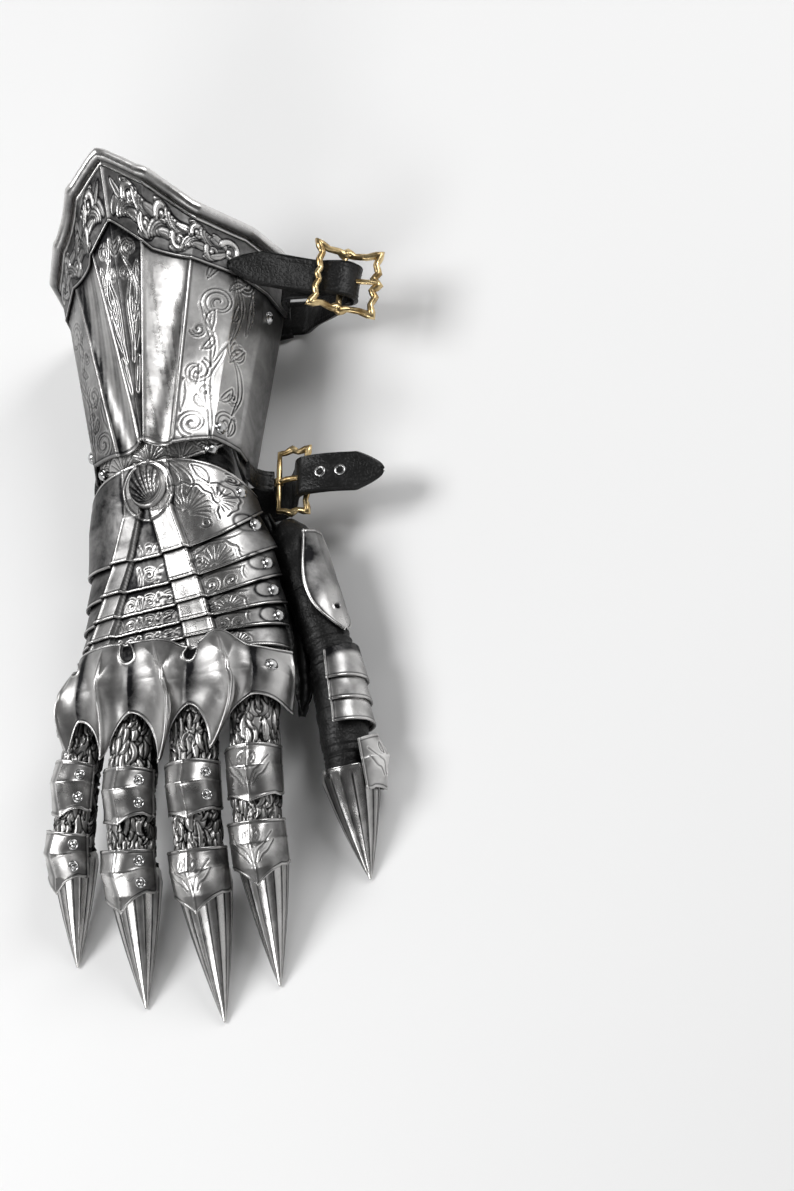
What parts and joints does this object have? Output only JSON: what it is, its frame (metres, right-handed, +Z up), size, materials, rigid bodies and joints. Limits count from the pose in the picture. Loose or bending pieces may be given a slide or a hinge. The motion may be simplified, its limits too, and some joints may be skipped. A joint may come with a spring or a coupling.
{
  "type": "clawed gauntlet",
  "caption": "Plate gauntlet for the right hand: ridged cuff, overlapping back lames, spiked knuckle plate and hollow claw tips over a leather glove, with two buckled straps.",
  "frame": {"origin": "middle of the leather palm patch's underside, on the surface that the gauntlet rests on", "axes": "+Z up out of the back of the hand, +Y along the arm toward the elbow, +X toward the thumb"},
  "size_m": [0.1999, 0.4164, 0.1212],
  "materials": {
    "cuff_steel": "polished steel with dark patina in the engraving",
    "engraved_band": "dark ground with bright raised scrolls",
    "lame_steel": "polished and part engraved, dark in the recesses",
    "embossed_steel": "embossed leafwork, blackened in the recesses",
    "claw_steel": "bright polished cones with fine lengthwise flutes",
    "rivets": "domed, polished",
    "buckle_brass": "aged brass, worn bright at the edges",
    "strap_leather": "black bridle leather, edges rounded",
    "glove_leather": "soft black glove leather with creases",
    "lining_leather": "black lining leather"
  },
  "bodies": {
    "cuff": {"cuff_plate": "cuff_steel", "cuff_border_band": "engraved_band", "cuff_lining": "lining_leather", "cuff_rivets": "rivets", "upper_strap": "strap_leather", "upper_strap_chape": "strap_leather", "wrist_strap": "strap_leather", "wrist_strap_chape": "strap_leather"},
    "upper_buckle": {"upper_buckle_frame": "buckle_brass"},
    "upper_tongue": {"upper_buckle_tongue": "buckle_brass"},
    "wrist_buckle": {"wrist_buckle_frame": "buckle_brass"},
    "wrist_tongue": {"wrist_buckle_tongue": "buckle_brass"},
    "wrist_plate": {"wrist_lame": "lame_steel"},
    "hand": {"back_lame_1": "lame_steel", "back_lame_2": "lame_steel", "back_lame_3": "lame_steel", "back_lame_4": "lame_steel", "back_lame_5": "lame_steel", "back_lame_6": "lame_steel", "shell_boss": "lame_steel", "hand_rivets": "rivets", "knuckle_plate": "lame_steel", "glove_hand": "glove_leather", "palm_patch": "glove_leather"},
    "index_base": {"index_base_stall": "glove_leather", "index_base_sleeve": "embossed_steel"},
    "index_mid": {"index_mid_stall": "glove_leather", "index_mid_sleeve": "embossed_steel", "index_mid_plate": "lame_steel"},
    "index_tip": {"index_tip_plate": "lame_steel", "index_claw": "claw_steel"},
    "middle_base": {"middle_base_stall": "glove_leather", "middle_base_sleeve": "embossed_steel"},
    "middle_mid": {"middle_mid_stall": "glove_leather", "middle_mid_sleeve": "embossed_steel", "middle_mid_plate": "lame_steel"},
    "middle_tip": {"middle_tip_plate": "lame_steel", "middle_claw": "claw_steel"},
    "ring_base": {"ring_base_stall": "glove_leather", "ring_base_sleeve": "embossed_steel"},
    "ring_mid": {"ring_mid_stall": "glove_leather", "ring_mid_sleeve": "embossed_steel", "ring_mid_plate": "lame_steel"},
    "ring_tip": {"ring_tip_plate": "lame_steel", "ring_claw": "claw_steel"},
    "little_base": {"little_base_stall": "glove_leather", "little_base_sleeve": "embossed_steel"},
    "little_mid": {"little_mid_stall": "glove_leather", "little_mid_sleeve": "embossed_steel", "little_mid_plate": "lame_steel"},
    "little_tip": {"little_tip_plate": "lame_steel", "little_claw": "claw_steel"},
    "thumb_base": {"thumb_base_stall": "glove_leather", "thumb_leaf_plate": "lame_steel"},
    "thumb_mid": {"thumb_mid_stall": "glove_leather", "thumb_lame_1": "lame_steel", "thumb_lame_2": "lame_steel", "thumb_lame_3": "lame_steel"},
    "thumb_tip": {"thumb_tip_plate": "lame_steel", "thumb_claw": "claw_steel"}
  },
  "joints": [
    {"name": "wrist_bend", "type": "hinge", "parent": "cuff", "child": "hand", "pos_m": [0, 0.08, 0.045], "axis": [1, 0, 0], "range_deg": [-10, 10]},
    {"name": "wrist_plate_tilt", "type": "hinge", "parent": "cuff", "child": "wrist_plate", "pos_m": [0, 0.08, 0.045], "axis": [1, 0, 0], "range_deg": [-5, 5]},
    {"name": "index_base_bend", "type": "hinge", "parent": "hand", "child": "index_base", "pos_m": [0.035, -0.046, 0.036], "axis": [0.9969, -0.0785, 0], "range_deg": [-2, 55]},
    {"name": "index_mid_bend", "type": "hinge", "parent": "index_base", "child": "index_mid", "pos_m": [0.03139, -0.09181, 0.03399], "axis": [0.9969, -0.0785, 0], "range_deg": [-4, 70]},
    {"name": "index_tip_bend", "type": "hinge", "parent": "index_mid", "child": "index_tip", "pos_m": [0.02885, -0.12411, 0.0277], "axis": [0.9969, -0.0785, 0], "range_deg": [-4, 40]},
    {"name": "middle_base_bend", "type": "hinge", "parent": "hand", "child": "middle_base", "pos_m": [0.0035, -0.0465, 0.0377], "axis": [0.9983, -0.0576, 0], "range_deg": [-2, 55]},
    {"name": "middle_mid_bend", "type": "hinge", "parent": "middle_base", "child": "middle_mid", "pos_m": [0.00074, -0.09438, 0.03569], "axis": [0.9983, -0.0576, 0], "range_deg": [-4, 70]},
    {"name": "middle_tip_bend", "type": "hinge", "parent": "middle_mid", "child": "middle_tip", "pos_m": [-0.00146, -0.1326, 0.02825], "axis": [0.9983, -0.0576, 0], "range_deg": [-4, 40]},
    {"name": "ring_base_bend", "type": "hinge", "parent": "hand", "child": "ring_base", "pos_m": [-0.027, -0.045, 0.036], "axis": [0.9914, -0.1305, 0], "range_deg": [-2, 55]},
    {"name": "ring_mid_bend", "type": "hinge", "parent": "ring_base", "child": "ring_mid", "pos_m": [-0.033, -0.09056, 0.03399], "axis": [0.9914, -0.1305, 0], "range_deg": [-4, 70]},
    {"name": "ring_tip_bend", "type": "hinge", "parent": "ring_mid", "child": "ring_tip", "pos_m": [-0.03761, -0.12557, 0.027], "axis": [0.9914, -0.1305, 0], "range_deg": [-4, 40]},
    {"name": "little_base_bend", "type": "hinge", "parent": "hand", "child": "little_base", "pos_m": [-0.054, -0.042, 0.0325], "axis": [0.9744, -0.225, 0], "range_deg": [-2, 55]},
    {"name": "little_mid_bend", "type": "hinge", "parent": "little_base", "child": "little_mid", "pos_m": [-0.06276, -0.07995, 0.0306], "axis": [0.9744, -0.225, 0], "range_deg": [-4, 70]},
    {"name": "little_tip_bend", "type": "hinge", "parent": "little_mid", "child": "little_tip", "pos_m": [-0.0696, -0.10958, 0.02452], "axis": [0.9744, -0.225, 0], "range_deg": [-4, 40]},
    {"name": "thumb_base_swing", "type": "hinge", "parent": "hand", "child": "thumb_base", "pos_m": [0.0516, 0.03, 0.02445], "axis": [0, 0, 1], "range_deg": [-2, 18]},
    {"name": "thumb_mid_bend", "type": "hinge", "parent": "thumb_base", "child": "thumb_mid", "pos_m": [0.06919, -0.03565, 0.02243], "axis": [0.6986, 0.0979, -0.7088], "range_deg": [-3, 20]},
    {"name": "thumb_tip_bend", "type": "hinge", "parent": "thumb_mid", "child": "thumb_tip", "pos_m": [0.07209, -0.09137, 0.01759], "axis": [0.697, 0.2244, -0.681], "range_deg": [-4, 22]},
    {"name": "upper_buckle_tilt", "type": "hinge", "parent": "cuff", "child": "upper_buckle", "pos_m": [0.095, 0.153, 0.041], "axis": [0.2198, 0.9755, 0], "range_deg": [-3, 3]},
    {"name": "upper_tongue_lift", "type": "hinge", "parent": "upper_buckle", "child": "upper_tongue", "pos_m": [0.095, 0.153, 0.041], "axis": [-0.2198, -0.9755, 0], "range_deg": [0, 16]},
    {"name": "wrist_buckle_tilt", "type": "hinge", "parent": "cuff", "child": "wrist_buckle", "pos_m": [0.04981, 0.05814, 0.028], "axis": [0.0872, 0.9962, 0], "range_deg": [-3, 3]},
    {"name": "wrist_tongue_lift", "type": "hinge", "parent": "wrist_buckle", "child": "wrist_tongue", "pos_m": [0.04981, 0.05814, 0.028], "axis": [-0.0872, -0.9962, 0], "range_deg": [0, 16]}
  ],
  "couplings": [
    {"joint": "wrist_plate_tilt", "follows": "wrist_bend", "ratio": 0.5}
  ]
}
